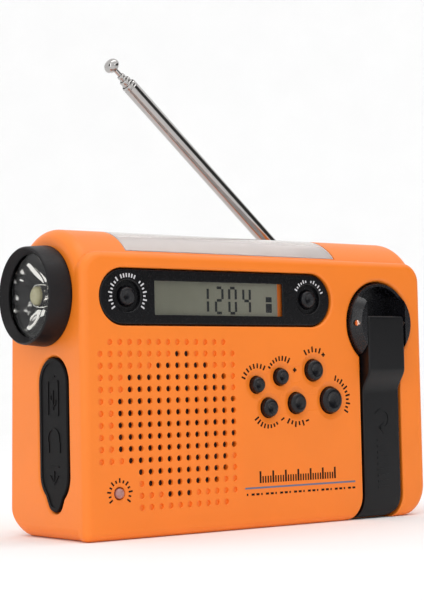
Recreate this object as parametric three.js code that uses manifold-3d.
// Hand-crank emergency radio: millimetres, +Z up, front face towards -Y.
// The origin is the centre of the flat base. The top of the body is a barrel
// (a half cylinder along X) whose axis also carries the torch in the left side.

import * as THREE from 'three';
import { mergeVertices } from 'three/addons/utils/BufferGeometryUtils.js';
import Module from 'manifold-3d';

const wasm = await Module();
wasm.setup();

// ---- Driving dimensions -------------------------------------------------

const GAP = 0.3;                       // clearance between neighbouring pieces
const WALL = 2.2;                      // moulded wall thickness

const BODY_WIDTH = 148.7;
const BODY_HEIGHT = 100.7;
const BARREL_RADIUS = 21.85;           // half of the body's depth at the top
const BACK_DRAFT = THREE.MathUtils.degToRad(1.8);
const BACK_CORNER = 9.1;
const FRONT_CORNER = 2.4;

const LEFT = -BODY_WIDTH / 2;
const RIGHT = BODY_WIDTH / 2;
const FACE_Y = -BARREL_RADIUS;
const AXIS_Z = BODY_HEIGHT - BARREL_RADIUS;

const PLATE_TOP = 92.3;                // front plate stands up in front of the barrel
const PLATE_DEPTH = 4.9;
const CORNERS = { topLeft: 7.6, topRight: 7.2, bottomRight: 11, bottomLeft: 2.6 };

const BEZEL = { x: -18.6, z: 77.8, length: 97.4, radius: 9.1, recess: 0.9, lip: 0.6 };
const PANE_Y = FACE_Y + BEZEL.recess + BEZEL.lip + 0.1;
const WINDOW = { x: -18.5, z: 77.6, width: 54.2, height: 11.2 };
const BEZEL_BACK = FACE_Y + 6.2;
const BEZEL_BUTTONS = [
  { name: 'torch_button', x: -56.3, z: 78 },
  { name: 'power_button', x: 20.3, z: 78.1 },
];
const BEZEL_BUTTON_RADIUS = 3.2;

const KEYS = [
  { name: 'lock_button', x: -4.2, z: 48.6, radius: 2.8 },
  { name: 'volume_up_button', x: 6.3, z: 51.2, radius: 2.9 },
  { name: 'volume_down_button', x: 0.9, z: 40.7, radius: 3.3 },
  { name: 'tuning_up_button', x: 21.3, z: 53.3, radius: 3.7 },
  { name: 'tuning_down_button', x: 13.3, z: 42, radius: 3.6 },
  { name: 'band_button', x: 28.9, z: 42.7, radius: 4.6 },
];
const KEY_PROUD = 1.6;
const KEY_TRAVEL = 0.8;

const HOLE_PITCH = 3.8;
const HOLE_RADIUS = 0.95;
const GRILLE = { x: -45.1, z: 36.5 };            // hole in column 0, row 0
const GRILLE_ROWS = [                              // row, first column, last column
  [6, 2, 3], [5, 0, 5], [4, -3, 7], [3, -3, 7],
  [2, -4, 8], [1, -4, 8], [0, -4, 8], [-1, -4, 8], [-2, -4, 8],
  [-3, -3, 7], [-4, -2, 7], [-5, -1, 6], [-6, 1, 3],
];
const SPEAKER = { x: -37.5, z: 36.5, radius: 25 };
const CHARGE_LIGHT = { x: -61.3, z: 14.9, radius: 1.7 };

const COVER = { x0: -53.9, x1: 37, from: 30, to: 139.5, thickness: 2 };

const TORCH = { baseRadius: 16.6, faceRadius: 15.9, proud: 8.4, spigot: 15.9, spigotDepth: 4, bore: 14.8 };
const TORCH_LIP = { radius: 14, depth: 2.8 };      // ring that holds the lens in

const PORT = { y: -3.6, z0: 12.2, z1: 58.7, radius: 8.55, depth: 1.9, tabEnd: 8.9, tabWidth: 8.4 };
const SOCKETS = { usbOut: 45.6, headphone: 31.4, usbIn: 19.4 };

const CRANK = { x: 53, z: 69.9, recess: 15.3, hub: 15, pocket: 13.3, notch: 8.6, shaft: 3 };
const SLOT = { halfWidth: 9.9, floor: FACE_Y + 7, flare: 8.7 };
const HUB_BACK = FACE_Y + 9;
const ARM = { halfWidth: 8.8, top: 72.5, bendTop: 53.6, bendBottom: 45.6, bottom: 0.6, foot: 3 };
const ARM_PROUD = 3.8;
const HUB_PROUD = 3.9;
const PIN = { y: FACE_Y - 2.3, radius: 0.9, halfLength: 13.5 };
const KNOB = { z: 14, radius: 6.2, depth: 4.6 };

const TOOTH = 1;                                   // gear module
const DRIVE_TEETH = 30;
const IDLER_SMALL_TEETH = 10;
const IDLER_LARGE_TEETH = 24;
const PINION_TEETH = 8;
const IDLER = { x: 45.4, z: 51.4 };
const GENERATOR = { x: 45.4, z: 35.4, radius: 11 };
const GEAR_FRONT = 0;

const COVER_PANEL = { halfWidth: 66, z0: 8.5, z1: 73, corner: 6 };
const DOOR = { halfWidth: 38, z0: 17, z1: 40, corner: 3 };
const CELL = { y: 10, z: 28.5, radius: 9, halfLength: 32.5 };
const SCREWS = [[-57, 12], [-58.5, 65.5], [61.5, 14.5], [62.3, 50]];
const BOSS_RADIUS = 3.2;
const SCREW_RADIUS = 1.3;

const ANTENNA = { x: 61.3, y: 24.3, z: 84.4, angle: 40.7 };
const ANTENNA_TUBES = [                            // outer radius, start, end from the pivot
  { radius: 2.75, start: 8, end: 112 },
  { radius: 2.1, start: 10, end: 114.2 },
  { radius: 1.45, start: 11.6, end: 116.4 },
  { radius: 0.85, start: 13.2, end: 121.5 },
];
const TUBE_WALL = 0.35;

// ---- Solids -------------------------------------------------------------

function manifoldOf(geometry) {
  const plain = geometry.clone();
  plain.deleteAttribute('normal');
  plain.deleteAttribute('uv');
  const merged = mergeVertices(plain, 1e-5);
  const vertProperties = new Float32Array(merged.attributes.position.array);
  const triVerts = new Uint32Array(merged.index.array);
  if (signedVolume(vertProperties, triVerts) < 0) {
    triVerts.reverse();
  }
  return new wasm.Manifold(new wasm.Mesh({ numProp: 3, vertProperties, triVerts }));
}

function signedVolume(positions, triangles) {
  const corner = [0, 1, 2].map(() => new THREE.Vector3());
  let volume = 0;
  for (let i = 0; i < triangles.length; i += 3) {
    corner.forEach((point, k) => point.fromArray(positions, 3 * triangles[i + k]));
    volume += corner[0].dot(corner[1].cross(corner[2])) / 6;
  }
  return volume;
}

function geometryOf(solid) {
  const mesh = solid.getMesh();
  const geometry = new THREE.BufferGeometry();
  geometry.setAttribute('position', new THREE.BufferAttribute(mesh.vertProperties, 3));
  geometry.setIndex(new THREE.BufferAttribute(mesh.triVerts, 1));
  return geometry;
}

function join(...solids) {
  return solids.reduce((whole, next) => whole.add(next));
}

function cut(solid, ...tools) {
  return tools.reduce((rest, tool) => rest.subtract(tool), solid);
}

function box(x0, x1, y0, y1, z0, z1) {
  const geometry = new THREE.BoxGeometry(x1 - x0, y1 - y0, z1 - z0);
  geometry.translate((x0 + x1) / 2, (y0 + y1) / 2, (z0 + z1) / 2);
  return manifoldOf(geometry);
}

// A shape drawn in (Y, Z) and extruded along X.
function prismX(shape, x0, x1, curveSegments = 4) {
  const geometry = extrude(shape, x1 - x0, curveSegments);
  const axes = new THREE.Matrix4().makeBasis(
    new THREE.Vector3(0, 1, 0), new THREE.Vector3(0, 0, 1), new THREE.Vector3(1, 0, 0));
  geometry.applyMatrix4(axes);
  geometry.translate(x0, 0, 0);
  return manifoldOf(geometry);
}

// A shape drawn in (X, Z) and extruded along Y.
function prismY(shape, y0, y1, curveSegments = 4) {
  const geometry = extrude(shape, y1 - y0, curveSegments);
  geometry.rotateX(Math.PI / 2);
  geometry.translate(0, y1, 0);
  return manifoldOf(geometry);
}

function extrude(shape, depth, curveSegments) {
  return new THREE.ExtrudeGeometry(shape, { depth, bevelEnabled: false, curveSegments });
}

// A profile of [radius, distance along the axis] points turned about the Y axis.
function turned(profile, segments) {
  return new THREE.LatheGeometry(profile.map(([r, s]) => new THREE.Vector2(r, s)), segments);
}

function turnedY(profile, x, z, segments = 18) {
  const geometry = turned(profile, segments);
  geometry.translate(x, 0, z);
  return manifoldOf(geometry);
}

function turnedX(profile, y, z, segments = 18) {
  const geometry = turned(profile, segments);
  geometry.rotateZ(-Math.PI / 2);
  geometry.translate(0, y, z);
  return manifoldOf(geometry);
}

function rodY(x, z, radius, y0, y1, segments = 18) {
  return turnedY([[0, y0], [radius, y0], [radius, y1], [0, y1]], x, z, segments);
}

function rodX(y, z, radius, x0, x1, segments = 18) {
  return turnedX([[0, x0], [radius, x0], [radius, x1], [0, x1]], y, z, segments);
}

// ---- Outlines -----------------------------------------------------------

function roundedRectangle(x0, x1, z0, z1, radii) {
  const { topLeft, topRight, bottomRight, bottomLeft } = radii;
  const shape = new THREE.Shape();
  shape.moveTo(x0 + bottomLeft, z0);
  shape.lineTo(x1 - bottomRight, z0);
  shape.absarc(x1 - bottomRight, z0 + bottomRight, bottomRight, -Math.PI / 2, 0, false);
  shape.absarc(x1 - topRight, z1 - topRight, topRight, 0, Math.PI / 2, false);
  shape.absarc(x0 + topLeft, z1 - topLeft, topLeft, Math.PI / 2, Math.PI, false);
  shape.absarc(x0 + bottomLeft, z0 + bottomLeft, bottomLeft, Math.PI, 1.5 * Math.PI, false);
  return shape;
}

function evenRectangle(x0, x1, z0, z1, r) {
  const radii = { topLeft: r, topRight: r, bottomRight: r, bottomLeft: r };
  return roundedRectangle(x0, x1, z0, z1, radii);
}

function stadium(grow) {
  const half = BEZEL.length / 2 + grow;
  const r = BEZEL.radius + grow;
  return evenRectangle(BEZEL.x - half, BEZEL.x + half, BEZEL.z - r, BEZEL.z + r, r - 0.01);
}

function windowOutline(grow) {
  const halfWidth = WINDOW.width / 2 + grow;
  const halfHeight = WINDOW.height / 2 + grow;
  return [WINDOW.x - halfWidth, WINDOW.x + halfWidth, WINDOW.z - halfHeight, WINDOW.z + halfHeight];
}

// Back plane of the body: Y of the drafted back at height z, for a wall inset.
function backY(z, inset) {
  const r = BARREL_RADIUS - inset;
  return r / Math.cos(BACK_DRAFT) + (AXIS_Z - z) * Math.tan(BACK_DRAFT);
}

// Side view of the body in (Y, Z): flat front, barrel top, drafted back.
function sideOutline(inset) {
  const r = BARREL_RADIUS - inset;
  const back = BACK_CORNER - inset;
  const front = Math.max(FRONT_CORNER - inset, 0.4);
  const backCentreZ = inset + back;
  const backCentreY = backY(backCentreZ, inset) - back / Math.cos(BACK_DRAFT);
  const shape = new THREE.Shape();
  shape.moveTo(-r, AXIS_Z);
  shape.absarc(0, AXIS_Z, r, Math.PI, BACK_DRAFT, true);
  shape.absarc(backCentreY, backCentreZ, back, BACK_DRAFT, -Math.PI / 2, true);
  shape.absarc(-r + front, inset + front, front, -Math.PI / 2, -Math.PI, true);
  return shape;
}

// Ring sector in (Y, Z) about the barrel's axis, angles in degrees from +Y.
function barrelSector(inner, outer, from, to) {
  const a = THREE.MathUtils.degToRad(from);
  const b = THREE.MathUtils.degToRad(to);
  const shape = new THREE.Shape();
  shape.absarc(0, AXIS_Z, outer, a, b, false);
  shape.absarc(0, AXIS_Z, inner, b, a, true);
  return shape;
}

function crankSlotOutline() {
  const x0 = CRANK.x - SLOT.halfWidth;
  const x1 = CRANK.x + SLOT.halfWidth;
  const shape = new THREE.Shape();
  shape.moveTo(x0, CRANK.z);
  shape.lineTo(x0, SLOT.flare);
  shape.absarc(x0 - SLOT.flare, SLOT.flare, SLOT.flare, 0, -Math.PI / 2, true);
  shape.lineTo(x0 - SLOT.flare, -1);
  shape.lineTo(x1, -1);
  shape.lineTo(x1, CRANK.z);
  return shape;
}

function portOutline(grow) {
  const { y, z0, z1, tabEnd, tabWidth } = PORT;
  const r = PORT.radius + grow;
  const tabHalf = tabWidth / 2 + grow;
  const shape = new THREE.Shape();
  shape.moveTo(y + r, z1 - PORT.radius);
  shape.absarc(y, z1 - PORT.radius, r, 0, Math.PI, false);
  shape.absarc(y, z0 + PORT.radius, r, Math.PI, Math.PI * 1.3, false);
  shape.absarc(y, tabEnd + tabHalf - grow, tabHalf, Math.PI * 1.15, Math.PI * 1.85, false);
  shape.absarc(y, z0 + PORT.radius, r, Math.PI * 1.7, Math.PI * 2, false);
  return shape;
}

function gearOutline(teeth, x, z, phase) {
  const tooth = (2 * Math.PI) / teeth;
  const root = TOOTH * (teeth / 2 - 1.2);
  const tip = TOOTH * (teeth / 2 + 0.8);
  const flanks = [[-0.29, root], [-0.11, tip], [0.11, tip], [0.29, root]];
  const shape = new THREE.Shape();
  for (let i = 0; i < teeth; i += 1) {
    for (const [share, radius] of flanks) {
      const angle = phase + (i + share) * tooth;
      const point = [x + radius * Math.cos(angle), z + radius * Math.sin(angle)];
      if (shape.curves.length === 0 && i === 0 && share === flanks[0][0]) {
        shape.moveTo(...point);
      } else {
        shape.lineTo(...point);
      }
    }
  }
  return shape;
}

// ---- Materials ----------------------------------------------------------

function material(color, roughness, metalness = 0, opacity = 1) {
  const transparent = opacity < 1;
  return new THREE.MeshStandardMaterial({ color, roughness, metalness, opacity, transparent });
}

const orangePlastic = () => material(0xff8a3c, 0.5);
const blackPlastic = () => material(0x26262a, 0.45);
const blackRubber = () => material(0x202022, 0.8);
const whitePlastic = () => material(0xf0eeea, 0.4);
const clearPlastic = () => material(0xe8e4e0, 0.1, 0, 0.35);
const chrome = () => material(0xd8d8da, 0.12, 1);
const steel = () => material(0xa8aaad, 0.35, 1);
const copper = () => material(0xc88a6a, 0.35, 1);
const circuitBoard = () => material(0x1d6b3a, 0.5);
const liquidCrystal = () => material(0x868a7c, 0.3);
const solarBlue = () => material(0x18203c, 0.2);
const darkFabric = () => material(0x151515, 0.95);
const paperCone = () => material(0x2c2c2c, 0.8);
const ferrite = () => material(0x3a3634, 0.7);
const blueWrap = () => material(0x2f5fa8, 0.4);
const nylon = () => material(0xe8e2cf, 0.5);
const lampYellow = () => material(0xe8dc8c, 0.3);
const clearPink = () => material(0xe0a8a0, 0.2, 0, 0.6);

// ---- Casing -------------------------------------------------------------

function bossSolids() {
  return SCREWS.map(([x, z]) => rodY(x, z, BOSS_RADIUS, FACE_Y + 1, backY(z, WALL) - GAP));
}

function screwBores() {
  return SCREWS.map(([x, z]) => rodY(x, z, SCREW_RADIUS + GAP, 6, 30, 12));
}

function grilleHoles() {
  const holes = [];
  for (const [row, first, last] of GRILLE_ROWS) {
    for (let column = first; column <= last; column += 1) {
      const shape = new THREE.Shape();
      shape.absarc(GRILLE.x + column * HOLE_PITCH, GRILLE.z + row * HOLE_PITCH, HOLE_RADIUS,
        0, 2 * Math.PI, false);
      holes.push(shape);
    }
  }
  return prismY(holes, FACE_Y - 1, FACE_Y + WALL + 1, 3);
}

function keyOpenings() {
  return KEYS.flatMap(({ x, z, radius }) => [
    rodY(x, z, radius + GAP, FACE_Y - 1, FACE_Y + 4, 14),
    rodY(x, z, radius + 1.4, FACE_Y - 1, FACE_Y + 0.5, 14),
  ]);
}

function shellOutside() {
  const body = prismX(sideOutline(0), LEFT, RIGHT, 14);
  const plate = prismY(roundedRectangle(LEFT, RIGHT, 0, PLATE_TOP, CORNERS), FACE_Y, FACE_Y + PLATE_DEPTH);
  const trim = { topLeft: 3, topRight: 3, bottomRight: CORNERS.bottomRight, bottomLeft: CORNERS.bottomLeft };
  const outline = prismY(roundedRectangle(LEFT, RIGHT, 0, BODY_HEIGHT, trim), -60, 60);
  return join(body, plate).intersect(outline);
}

function shellInside() {
  const trim = { topLeft: 2, topRight: 2, bottomRight: CORNERS.bottomRight - WALL, bottomLeft: 1 };
  const outline = prismY(
    roundedRectangle(LEFT + WALL, RIGHT - WALL, WALL, BODY_HEIGHT - WALL, trim), -60, 60);
  return prismX(sideOutline(WALL), LEFT + WALL, RIGHT - WALL, 14).intersect(outline);
}

function frontShell() {
  const outside = shellOutside();
  const slotLeft = CRANK.x - SLOT.halfWidth;
  const slotRight = CRANK.x + SLOT.halfWidth;
  const ribs = join(
    rodY(CRANK.x, CRANK.z, CRANK.recess + WALL, FACE_Y, HUB_BACK + WALL, 28),
    box(slotLeft - WALL, slotRight + WALL, FACE_Y, SLOT.floor + WALL, 0, CRANK.z),
    box(slotLeft - WALL - SLOT.flare, slotLeft, FACE_Y, SLOT.floor + WALL, 0, SLOT.flare + WALL),
    box(LEFT, LEFT + WALL + 2, PORT.y - 11, PORT.y + 11, 5, 61),
    rodY(ANTENNA.x, ANTENNA.z, 9.5, 14.5, 22, 28),
    ...bossSolids(),
  ).intersect(outside);
  const solid = join(cut(outside, shellInside()), ribs);
  return cut(solid,
    prismY(stadium(GAP), FACE_Y - 1, FACE_Y + 8),
    prismY(stadium(2.6), FACE_Y + 4, FACE_Y + 10),
    prismX(barrelSector(BARREL_RADIUS - 4, BARREL_RADIUS + 2, COVER.from, COVER.to), COVER.x0, COVER.x1, 9),
    rodX(0, AXIS_Z, TORCH.spigot + GAP, LEFT - 1, LEFT + 4, 36),
    prismX(portOutline(GAP), LEFT - 1, LEFT + PORT.depth + GAP),
    box(LEFT, LEFT + 6, PORT.y - 3.8, PORT.y + 3.8, SOCKETS.usbOut - 7.6, SOCKETS.usbOut + 7.6),
    rodX(PORT.y, SOCKETS.headphone, 3.6 + GAP, LEFT, LEFT + 6),
    box(LEFT, LEFT + 6, PORT.y - 2.2, PORT.y + 2.2, SOCKETS.usbIn - 4.4, SOCKETS.usbIn + 4.4),
    prismY(crankSlotOutline(), FACE_Y - 1, SLOT.floor),
    rodY(CRANK.x, CRANK.z, CRANK.recess, FACE_Y - 1, HUB_BACK, 36),
    rodY(CRANK.x, CRANK.z, 3.4, FACE_Y, HUB_BACK + 4, 24),
    rodY(CHARGE_LIGHT.x, CHARGE_LIGHT.z, CHARGE_LIGHT.radius + GAP, FACE_Y - 1, FACE_Y + 4, 16),
    rodY(ANTENNA.x, ANTENNA.z, 7.5, 17.5, 30, 28),
    rodY(ANTENNA.x, ANTENNA.z, 2.6, 10, 30, 16),
    prismY(evenRectangle(-COVER_PANEL.halfWidth, COVER_PANEL.halfWidth, COVER_PANEL.z0, COVER_PANEL.z1,
      COVER_PANEL.corner), backY(45, WALL) - 3, 40),
    grilleHoles(),
    ...keyOpenings(),
    ...screwBores(),
  );
}

function backPanel(halfWidth, z0, z1, corner) {
  const slab = prismY(evenRectangle(-halfWidth, halfWidth, z0, z1, corner), 0, 40);
  const wall = cut(
    prismX(sideOutline(0), LEFT, RIGHT, 14),
    prismX(sideOutline(WALL), LEFT - 1, RIGHT + 1, 14));
  return wall.intersect(slab);
}

function rearCover() {
  const { halfWidth, z0, z1, corner } = COVER_PANEL;
  const panel = backPanel(halfWidth - GAP, z0 + GAP, z1 - GAP, corner - GAP);
  const doorway = evenRectangle(-DOOR.halfWidth - GAP, DOOR.halfWidth + GAP, DOOR.z0 - GAP, DOOR.z1 + GAP,
    DOOR.corner + GAP);
  const screwHoles = SCREWS.flatMap(([x, z]) => [
    rodY(x, z, SCREW_RADIUS + GAP, 10, 40, 12),
    rodY(x, z, 2.8 + GAP, backY(z, 0) - 1, 40, 16),
  ]);
  return cut(panel, prismY(doorway, 0, 40), ...screwHoles);
}

function caseScrew([x, z]) {
  const head = backY(z, 0) - 1 + GAP;
  return turnedY([
    [0, head - 10], [SCREW_RADIUS, head - 10], [SCREW_RADIUS, head], [2.7, head],
    [2.7, head + 0.9], [0, head + 1.2],
  ], x, z, 12);
}

function batteryDoor() {
  return backPanel(DOOR.halfWidth, DOOR.z0, DOOR.z1, DOOR.corner);
}

function batteryTray() {
  const outer = box(-37, 37, -0.8, 20.8, 17, 40);
  const room = box(-35, 35, 0.7, 30, 18.5, 38.5);
  return cut(outer, room);
}

function batteryCell() {
  const { y, z, radius, halfLength } = CELL;
  return turnedX([
    [0, -halfLength], [radius, -halfLength], [radius, halfLength - 1.5], [3, halfLength - 1.5],
    [3, halfLength], [0, halfLength],
  ], y, z, 28);
}

// ---- Display and keys ---------------------------------------------------

function displayBezel() {
  const front = FACE_Y + BEZEL.recess;
  const plug = prismY(stadium(0), front, BEZEL_BACK);
  const flange = prismY(stadium(2.2), FACE_Y + 4 + GAP, BEZEL_BACK);
  const [wx0, wx1, wz0, wz1] = windowOutline(0);
  const [rx0, rx1, rz0, rz1] = windowOutline(2.2);
  const wells = BEZEL_BUTTONS.flatMap(({ x, z }) => [
    rodY(x, z, BEZEL_BUTTON_RADIUS + GAP, FACE_Y, 0, 14),
    rodY(x, z, 5.1, FACE_Y, front + 1.2, 16),
    rodY(x, z, 5.1, front + 2.4, 0, 16),
  ]);
  return cut(join(plug, flange), box(wx0, wx1, FACE_Y, 0, wz0, wz1),
    box(rx0, rx1, front + BEZEL.lip, 0, rz0, rz1), ...wells);
}

function displayPane() {
  const [x0, x1, z0, z1] = windowOutline(1.8);
  return box(x0, x1, PANE_Y, PANE_Y + 0.8, z0, z1);
}

function displayModule() {
  const [x0, x1, z0, z1] = windowOutline(1.8);
  return box(x0, x1, PANE_Y + 1, PANE_Y + 4.4, z0, z1);
}

function switchBody(x, z, y0, y1) {
  return box(x - 3, x + 3, y0, y1, z - 3, z + 3);
}

const DISPLAY_BOARD_Y = FACE_Y + 10;
const MAIN_BOARD_Y = FACE_Y + 9;
const SWITCH_HEIGHT = 2.2;

function displayBoard() {
  const plate = box(-60, 30, DISPLAY_BOARD_Y, DISPLAY_BOARD_Y + 1.4, 70, 86);
  const switches = BEZEL_BUTTONS.map(({ x, z }) => (
    switchBody(x, z, DISPLAY_BOARD_Y - SWITCH_HEIGHT, DISPLAY_BOARD_Y + 0.5)));
  return join(plate, ...switches);
}

function mainBoard() {
  const y = MAIN_BOARD_Y;
  const plate = box(-9, 34, y, y + 1.6, 30, 66);
  const switches = KEYS.map((key) => switchBody(key.x, key.z, y - SWITCH_HEIGHT, y + 0.5));
  const chips = [
    box(-4, 10, y + 1.2, y + 3.4, 48, 60),
    box(16, 26, y + 1.2, y + 3, 50, 60),
    box(14, 22, y + 1.2, y + 4.4, 34, 42),
  ];
  return join(plate, ...switches, ...chips);
}

function pushButton(x, z, radius, front, flangeY, switchFace) {
  const stemEnd = switchFace - KEY_TRAVEL - 0.2;
  return turnedY([
    [0, front + 0.25], [radius * 0.5, front], [radius * 0.8, front + 0.15], [radius, front + 0.9],
    [radius, flangeY], [radius + 1, flangeY], [radius + 1, flangeY + 0.9], [1.6, flangeY + 0.9],
    [1.6, stemEnd], [0, stemEnd],
  ], x, z, 14);
}

function keyButton({ x, z, radius }) {
  return pushButton(x, z, radius, FACE_Y - KEY_PROUD, FACE_Y + WALL + GAP, MAIN_BOARD_Y - SWITCH_HEIGHT);
}

function bezelButton({ x, z }) {
  const front = FACE_Y + BEZEL.recess;
  return pushButton(x, z, BEZEL_BUTTON_RADIUS, front - 0.6, front + 2.4 + GAP,
    DISPLAY_BOARD_Y - SWITCH_HEIGHT);
}

function chargeLight() {
  const { x, z, radius } = CHARGE_LIGHT;
  return turnedY([
    [0, FACE_Y - 0.9], [radius * 0.7, FACE_Y - 0.5], [radius, FACE_Y + 0.3],
    [radius, FACE_Y + 4.5], [0, FACE_Y + 4.5],
  ], x, z, 16);
}

// ---- Lamp and solar panel under the clear top ---------------------------

function lampCover() {
  const clearAngle = THREE.MathUtils.radToDeg(GAP / BARREL_RADIUS);
  const sector = barrelSector(BARREL_RADIUS - COVER.thickness, BARREL_RADIUS,
    COVER.from + clearAngle, COVER.to - clearAngle);
  return prismX(sector, COVER.x0 + GAP, COVER.x1 - GAP, 9);
}

function lampTray() {
  const shape = new THREE.Shape();
  shape.moveTo(-15.2, 87.6);
  shape.lineTo(-6.5, 90);
  shape.lineTo(15.2, 90);
  shape.lineTo(15.2, 91.4);
  shape.lineTo(-6.8, 91.4);
  shape.lineTo(-15.2, 89.2);
  return prismX(shape, COVER.x0 + 1, COVER.x1 - 1);
}

function lampBoard() {
  const strip = new THREE.Shape();
  strip.moveTo(-14, 89.9);
  strip.lineTo(-8, 91.5);
  strip.lineTo(-8.3, 92.5);
  strip.lineTo(-14.3, 90.9);
  const board = prismX(strip, -40, 25);
  const lamps = [-30, -7.5, 15].map((x) => box(x - 2, x + 2, -12.5, -9.5, 91, 93));
  return join(board, ...lamps);
}

function solarPanel() {
  return box(COVER.x0 + 3, COVER.x1 - 3, -5.5, 12, 91.7, 93.3);
}

// ---- Torch --------------------------------------------------------------

const TORCH_MOUTH = LEFT - TORCH.proud;
const LENS_X = TORCH_MOUTH + TORCH_LIP.depth + 0.1;
const REFLECTOR_X = LENS_X + 1.2;

function torchBezel() {
  const seat = TORCH_MOUTH + TORCH_LIP.depth;
  const end = LEFT + TORCH.spigotDepth;
  return turnedX([
    [TORCH_LIP.radius, seat], [TORCH.faceRadius - 0.8, TORCH_MOUTH], [TORCH.faceRadius - 0.3, TORCH_MOUTH],
    [TORCH.faceRadius, TORCH_MOUTH + 0.4], [TORCH.baseRadius, LEFT - GAP], [TORCH.spigot, LEFT - GAP],
    [TORCH.spigot, end], [TORCH.bore, end], [TORCH.bore, seat], [TORCH_LIP.radius, seat],
  ], 0, AXIS_Z, 32);
}

function torchLens() {
  return rodX(0, AXIS_Z, TORCH.bore - GAP, LENS_X, LENS_X + 1, 32);
}

function torchReflector() {
  const rim = TORCH.bore - GAP;
  const x = REFLECTOR_X;
  return turnedX([
    [rim, x], [rim, x + 0.7], [12, x + 2.6], [8, x + 4.6], [4.8, x + 5.8], [4, x + 5.8],
    [4, x + 5], [7.6, x + 3.8], [11.4, x + 1.9], [13.7, x], [rim, x],
  ], 0, AXIS_Z, 24);
}

function torchLed() {
  const x = REFLECTOR_X;
  return turnedX([
    [0, x + 0.1], [2, x + 0.3], [3.2, x + 0.9], [3.7, x + 1.9], [3.7, x + 6.2],
    [TORCH.bore - GAP, x + 6.2], [TORCH.bore - GAP, x + 7.4], [0, x + 7.4],
  ], 0, AXIS_Z, 24);
}

// ---- Sockets and their flap ----------------------------------------------

function portCover() {
  return prismX(portOutline(0), LEFT - 0.2, LEFT + PORT.depth, 5);
}

const SOCKET_MOUTH = LEFT + PORT.depth + 0.6;

function usbOutputSocket() {
  const { y } = PORT;
  const z = SOCKETS.usbOut;
  const can = box(SOCKET_MOUTH, SOCKET_MOUTH + 14, y - 3.5, y + 3.5, z - 7.3, z + 7.3);
  const mouth = box(SOCKET_MOUTH - 1, SOCKET_MOUTH + 10, y - 2.6, y + 2.6, z - 6.5, z + 6.5);
  const tongue = box(SOCKET_MOUTH + 1, SOCKET_MOUTH + 11, y + 0.3, y + 2.1, z - 5.6, z + 5.6);
  return join(cut(can, mouth), tongue);
}

function headphoneSocket() {
  const { y } = PORT;
  const z = SOCKETS.headphone;
  const barrel = rodX(y, z, 3.6, SOCKET_MOUTH, SOCKET_MOUTH + 4, 20);
  const block = box(SOCKET_MOUTH + 3, SOCKET_MOUTH + 14, y - 3.5, y + 3.5, z - 4.5, z + 4.5);
  const bore = rodX(y, z, 1.8, SOCKET_MOUTH - 1, SOCKET_MOUTH + 11, 12);
  return cut(join(barrel, block), bore);
}

function usbInputSocket() {
  const { y } = PORT;
  const z = SOCKETS.usbIn;
  const can = box(SOCKET_MOUTH, SOCKET_MOUTH + 6, y - 1.8, y + 1.8, z - 4, z + 4);
  const mouth = box(SOCKET_MOUTH - 1, SOCKET_MOUTH + 5, y - 1.3, y + 1.3, z - 3.4, z + 3.4);
  const tongue = box(SOCKET_MOUTH + 1, SOCKET_MOUTH + 5.5, y - 0.3, y + 0.4, z - 2.4, z + 2.4);
  return join(cut(can, mouth), tongue);
}

function portBoard() {
  const y = PORT.y + 3.8;
  return join(
    box(SOCKET_MOUTH + 2, SOCKET_MOUTH + 14, y, y + 1.4, 22, 55),
    box(SOCKET_MOUTH + 2, SOCKET_MOUTH + 6.5, y, y + 1.4, 13, 23));
}

// ---- Speaker --------------------------------------------------------------

const SPEAKER_Y = FACE_Y + WALL + GAP;

function speakerCloth() {
  return rodY(SPEAKER.x, SPEAKER.z, SPEAKER.radius, SPEAKER_Y, SPEAKER_Y + 0.4, 24);
}

function speakerFrame() {
  const y = SPEAKER_Y + 0.7;
  return turnedY([
    [22.5, y], [SPEAKER.radius, y], [SPEAKER.radius, y + 1.6], [23.5, y + 1.6], [14, y + 9.4],
    [14, y + 10.4], [8, y + 10.4], [8, y + 9.2], [13, y + 9.2], [22.5, y + 1.4], [22.5, y],
  ], SPEAKER.x, SPEAKER.z, 24);
}

function speakerCone() {
  const y = SPEAKER_Y + 0.9;
  return turnedY([
    [0, y + 5.4], [6, y + 5.8], [20, y + 0.6], [22, y + 0.2], [22, y + 0.8], [20, y + 1.2],
    [7.5, y + 7], [7.5, y + 8.6], [0, y + 8.6],
  ], SPEAKER.x, SPEAKER.z, 20);
}

function speakerMagnet() {
  const y = SPEAKER_Y + 11.4;
  return rodY(SPEAKER.x, SPEAKER.z, 12.5, y, y + 6, 28);
}

// ---- Crank and generator ---------------------------------------------------

function crankHub() {
  const { x, z, hub, pocket, notch, shaft } = CRANK;
  const proud = FACE_Y - HUB_PROUD;
  const back = HUB_BACK - GAP;
  const disc = turnedY([
    [0, proud], [12.4, proud], [14.2, proud + 1.2], [hub, FACE_Y - 0.6], [hub, back], [0, back],
  ], x, z, 36);
  const channel = ARM.halfWidth + 0.5;
  const floor = HUB_BACK - 2.6;
  const fingerPocket = rodY(x, z, pocket, proud - 1, floor, 36)
    .intersect(box(x - hub, x + hub, proud - 2, floor + 1, z + notch, z + hub));
  const hubBody = cut(disc,
    box(x - channel, x + channel, proud - 1, floor, z - 20, z + notch),
    box(x - 20, x + 20, proud - 1, FACE_Y - 0.3, z + notch + 1, z + 20),
    fingerPocket,
    rodX(PIN.y, z, PIN.radius + GAP, x - 20, x + 20, 16));
  return join(hubBody, rodY(x, z, shaft, back - 1, GEAR_FRONT + 5, 20));
}

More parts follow.
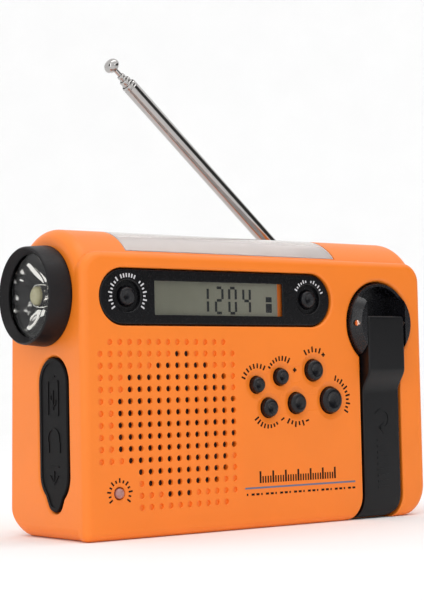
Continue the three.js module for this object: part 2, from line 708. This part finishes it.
// Side view of the cranked arm in (Y, Z): a raised head, a slope and a flush leg.
function armSideOutline() {
  const front = FACE_Y - ARM_PROUD;
  const back = FACE_Y + 6.3;
  const shape = new THREE.Shape();
  shape.moveTo(front, ARM.top - 0.8);
  shape.absarc(front + 0.8, ARM.top - 0.8, 0.8, Math.PI, Math.PI / 2, true);
  shape.lineTo(front + 5.2, ARM.top);
  shape.lineTo(front + 5.2, ARM.bendTop);
  shape.lineTo(back, ARM.bendBottom - 1);
  shape.lineTo(back, ARM.bottom);
  shape.absarc(FACE_Y + ARM.foot, ARM.bottom + ARM.foot, ARM.foot, -Math.PI / 2, -Math.PI, true);
  shape.lineTo(FACE_Y, ARM.bendBottom);
  shape.lineTo(front, ARM.bendTop);
  return shape;
}

// Front view of the arm in (X, Z): straight sides and a foot that fills the slot's flare.
function armFrontOutline() {
  const left = CRANK.x - ARM.halfWidth;
  const right = CRANK.x + ARM.halfWidth;
  const flareX = CRANK.x - SLOT.halfWidth - SLOT.flare;
  const radius = SLOT.flare + SLOT.halfWidth - ARM.halfWidth;
  const end = Math.asin((SLOT.flare - ARM.bottom) / radius);
  const shape = new THREE.Shape();
  shape.moveTo(left, ARM.top);
  shape.lineTo(left, SLOT.flare + 2);
  shape.lineTo(flareX + radius, SLOT.flare);
  shape.absarc(flareX, SLOT.flare, radius, 0, -end, true);
  shape.lineTo(right, ARM.bottom);
  shape.lineTo(right, ARM.top);
  return shape;
}

function crankArm() {
  const bar = prismX(armSideOutline(), CRANK.x - 20, CRANK.x + 20, 4)
    .intersect(prismY(armFrontOutline(), FACE_Y - 10, FACE_Y + 10));
  return cut(bar,
    rodX(PIN.y, CRANK.z, PIN.radius + GAP, CRANK.x - 20, CRANK.x + 20, 16),
    rodY(CRANK.x, KNOB.z, KNOB.radius + GAP, FACE_Y + 6.3 - KNOB.depth, FACE_Y + 8, 28),
    rodY(CRANK.x, KNOB.z, 1.8, FACE_Y + 0.9, FACE_Y + 8, 14));
}

function crankPin() {
  return rodX(PIN.y, CRANK.z, PIN.radius, CRANK.x - PIN.halfLength, CRANK.x + PIN.halfLength, 16);
}

function crankKnob() {
  const top = FACE_Y + 6.3 - KNOB.depth + GAP;
  return turnedY([
    [0, FACE_Y + 1.2], [1.5, FACE_Y + 1.2], [1.5, top], [KNOB.radius, top], [KNOB.radius, FACE_Y + 5.8],
    [KNOB.radius - 0.5, FACE_Y + 6.3], [0, FACE_Y + 6.3],
  ], CRANK.x, KNOB.z, 28);
}

const DRIVE_ANGLE = Math.atan2(IDLER.z - CRANK.z, IDLER.x - CRANK.x);

function driveGear() {
  const disc = prismY(gearOutline(DRIVE_TEETH, CRANK.x, CRANK.z, DRIVE_ANGLE), GEAR_FRONT, GEAR_FRONT + 3);
  const hub = rodY(CRANK.x, CRANK.z, 6, GEAR_FRONT, GEAR_FRONT + 4.5, 20);
  return cut(join(disc, hub), rodY(CRANK.x, CRANK.z, 3 + GAP, GEAR_FRONT - 1, GEAR_FRONT + 6, 20));
}

function idlerGear() {
  const { x, z } = IDLER;
  const smallPhase = DRIVE_ANGLE + Math.PI + Math.PI / IDLER_SMALL_TEETH;
  const small = prismY(gearOutline(IDLER_SMALL_TEETH, x, z, smallPhase), GEAR_FRONT, GEAR_FRONT + 5);
  const large = prismY(gearOutline(IDLER_LARGE_TEETH, x, z, -Math.PI / 2), GEAR_FRONT + 5, GEAR_FRONT + 7.5);
  return cut(join(small, large), rodY(x, z, 1.3 + GAP, GEAR_FRONT - 1, GEAR_FRONT + 9, 12));
}

function generatorPinion() {
  const { x, z } = GENERATOR;
  const phase = Math.PI / 2 + Math.PI / PINION_TEETH;
  const gear = prismY(gearOutline(PINION_TEETH, x, z, phase), GEAR_FRONT + 4.8, GEAR_FRONT + 7.7);
  return join(gear, rodY(x, z, 1, GEAR_FRONT - 9, GEAR_FRONT + 5.2, 12));
}

function generatorCase() {
  const { x, z, radius } = GENERATOR;
  const can = turnedY([
    [0, -12], [radius, -12], [radius, -3.4], [4, -3.4], [4, -2.2], [0, -2.2],
  ], x, z, 28);
  return cut(can, rodY(x, z, 1 + GAP, -10, 0, 12));
}

function gearboxPlate() {
  const outline = evenRectangle(CRANK.x - 15, CRANK.x + 5, 23, 86, 4);
  const plate = prismY(outline, -1.9, -0.6);
  const axle = rodY(IDLER.x, IDLER.z, 1.3, -1.5, GEAR_FRONT + 8.5, 12);
  const drilled = cut(plate,
    rodY(CRANK.x, CRANK.z, 3.4, -5, 5, 20),
    rodY(GENERATOR.x, GENERATOR.z, 4 + GAP, -5, 5, 20));
  return join(drilled, axle);
}

function ferriteRod() {
  return rodX(13, 66, 4, -30, 30, 20);
}

// ---- Telescopic antenna, drawn lying along +X from its pivot ---------------

function antennaBase() {
  const post = rodY(0, 0, 2.3, 11.5 - ANTENNA.y, 19 - ANTENNA.y, 16);
  const disc = rodY(0, 0, 7, 17.8 - ANTENNA.y, 20.4 - ANTENNA.y, 28);
  const ear = new THREE.Shape();
  ear.moveTo(-3.4, 19.5 - ANTENNA.y);
  ear.lineTo(3.4, 19.5 - ANTENNA.y);
  ear.absarc(0, 0, 3.2, 0, Math.PI, false);
  const ears = [-3.4, 1.9].map((z) => {
    const geometry = extrude(ear, 1.5, 5);
    geometry.translate(0, 0, z);
    return manifoldOf(geometry);
  });
  return cut(join(post, disc, ...ears), antennaPinBar(0.9 + GAP, 12));
}

function alongX(profile, segments) {
  return turnedX(profile, 0, 0, segments);
}

function antennaSection(index) {
  const { radius, start, end } = ANTENNA_TUBES[index];
  const isRod = index === ANTENNA_TUBES.length - 1;
  const segments = index < 2 ? 20 : 14;
  if (isRod) {
    return alongX([[0, start], [radius, start], [radius, end], [0, end]], segments);
  }
  const bore = radius - TUBE_WALL;
  const tube = alongX([
    [0, start], [radius, start], [radius, end - 0.5], [radius - 0.2, end], [bore, end], [bore, start + 1.2],
    [0, start + 1.2],
  ], segments);
  return index === 0 ? join(tube, antennaTongue(start)) : tube;
}

function antennaTongue(start) {
  const tongue = new THREE.Shape();
  tongue.moveTo(start + 0.6, 2);
  tongue.absarc(0, 0, 2.6, Math.PI / 2, 1.5 * Math.PI, false);
  tongue.lineTo(start + 0.6, -2);
  const geometry = extrude(tongue, 2.8, 4);
  geometry.translate(0, 0, -1.4);
  return cut(manifoldOf(geometry), antennaPinBar(0.9 + GAP, 12));
}

function antennaPinBar(radius, length) {
  const geometry = new THREE.CylinderGeometry(radius, radius, length, 12);
  geometry.rotateX(Math.PI / 2);
  return manifoldOf(geometry);
}

function antennaTip() {
  const end = ANTENNA_TUBES[3].end;
  const bore = ANTENNA_TUBES[3].radius + GAP;
  return alongX([
    [bore, end - 2.4], [1.8, end - 2.4], [2.9, end - 1.4], [3.1, end - 0.2], [2.6, end + 1],
    [1.2, end + 1.7], [0, end + 1.8], [0, end + GAP], [bore, end + GAP], [bore, end - 2.4],
  ], 20);
}

// ---- Assembly ---------------------------------------------------------------

const radio = new THREE.Group();
radio.name = 'emergency_radio';

function place(parent, name, solid, finish) {
  const mesh = new THREE.Mesh(geometryOf(solid), finish);
  mesh.name = name;
  parent.add(mesh);
}

place(radio, 'front_shell', frontShell(), orangePlastic());
place(radio, 'rear_cover', rearCover(), orangePlastic());
place(radio, 'battery_door', batteryDoor(), orangePlastic());
place(radio, 'battery_tray', batteryTray(), blackPlastic());
place(radio, 'battery_cell', batteryCell(), blueWrap());
SCREWS.forEach((spot, i) => place(radio, `case_screw_${i + 1}`, caseScrew(spot), steel()));

place(radio, 'display_bezel', displayBezel(), blackPlastic());
place(radio, 'display_pane', displayPane(), clearPlastic());
place(radio, 'display_module', displayModule(), liquidCrystal());
place(radio, 'display_board', displayBoard(), circuitBoard());
place(radio, 'main_board', mainBoard(), circuitBoard());
BEZEL_BUTTONS.forEach((button) => place(radio, button.name, bezelButton(button), blackRubber()));
KEYS.forEach((key) => place(radio, key.name, keyButton(key), blackRubber()));
place(radio, 'charge_light', chargeLight(), clearPink());

place(radio, 'lamp_cover', lampCover(), clearPlastic());
place(radio, 'lamp_tray', lampTray(), whitePlastic());
place(radio, 'lamp_board', lampBoard(), whitePlastic());
place(radio, 'solar_panel', solarPanel(), solarBlue());

place(radio, 'torch_bezel', torchBezel(), blackPlastic());
place(radio, 'torch_lens', torchLens(), clearPlastic());
place(radio, 'torch_reflector', torchReflector(), chrome());
place(radio, 'torch_led', torchLed(), lampYellow());

place(radio, 'port_cover', portCover(), blackRubber());
place(radio, 'usb_output_socket', usbOutputSocket(), steel());
place(radio, 'headphone_socket', headphoneSocket(), blackPlastic());
place(radio, 'usb_input_socket', usbInputSocket(), steel());
place(radio, 'port_board', portBoard(), circuitBoard());

place(radio, 'speaker_cloth', speakerCloth(), darkFabric());
place(radio, 'speaker_frame', speakerFrame(), steel());
place(radio, 'speaker_cone', speakerCone(), paperCone());
place(radio, 'speaker_magnet', speakerMagnet(), steel());

place(radio, 'crank_hub', crankHub(), blackPlastic());
place(radio, 'crank_arm', crankArm(), blackPlastic());
place(radio, 'crank_pin', crankPin(), copper());
place(radio, 'crank_knob', crankKnob(), blackPlastic());
place(radio, 'drive_gear', driveGear(), nylon());
place(radio, 'idler_gear', idlerGear(), nylon());
place(radio, 'generator_pinion', generatorPinion(), nylon());
place(radio, 'generator_case', generatorCase(), steel());
place(radio, 'gearbox_plate', gearboxPlate(), steel());
place(radio, 'ferrite_rod', ferriteRod(), ferrite());

const antenna = new THREE.Group();
antenna.position.set(ANTENNA.x, ANTENNA.y, ANTENNA.z);
antenna.rotation.y = -THREE.MathUtils.degToRad(180 - ANTENNA.angle);
place(antenna, 'antenna_base', antennaBase(), chrome());
place(antenna, 'antenna_pin', antennaPinBar(0.9, 7.4), steel());
ANTENNA_TUBES.forEach((tube, i) => {
  place(antenna, `antenna_section_${i + 1}`, antennaSection(i), chrome());
});
place(antenna, 'antenna_tip', antennaTip(), chrome());
radio.add(antenna);

export default radio;
